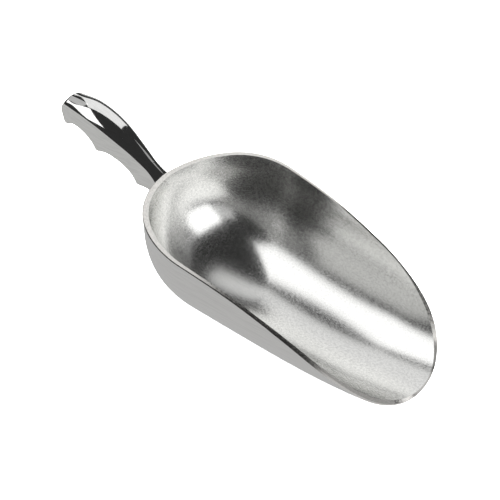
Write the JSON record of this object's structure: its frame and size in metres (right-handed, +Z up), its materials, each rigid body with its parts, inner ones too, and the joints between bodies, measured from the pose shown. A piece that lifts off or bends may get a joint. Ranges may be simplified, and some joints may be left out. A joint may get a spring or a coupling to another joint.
{
  "type": "ice scoop",
  "caption": "Cast aluminium ice scoop with an open round-backed bowl, a sloping rim and a solid handle with finger scallops.",
  "frame": {"origin": "middle of the small flat on the keel that the scoop rests on", "axes": "+X towards the lip, +Z up, +Y to the left of someone looking along +X"},
  "size_m": [0.3384, 0.1308, 0.114],
  "materials": {
    "bowl_metal": "satin",
    "handle_metal": "polished"
  },
  "bodies": {
    "root": {"bowl": "bowl_metal", "handle": "handle_metal"}
  },
  "joints": []
}
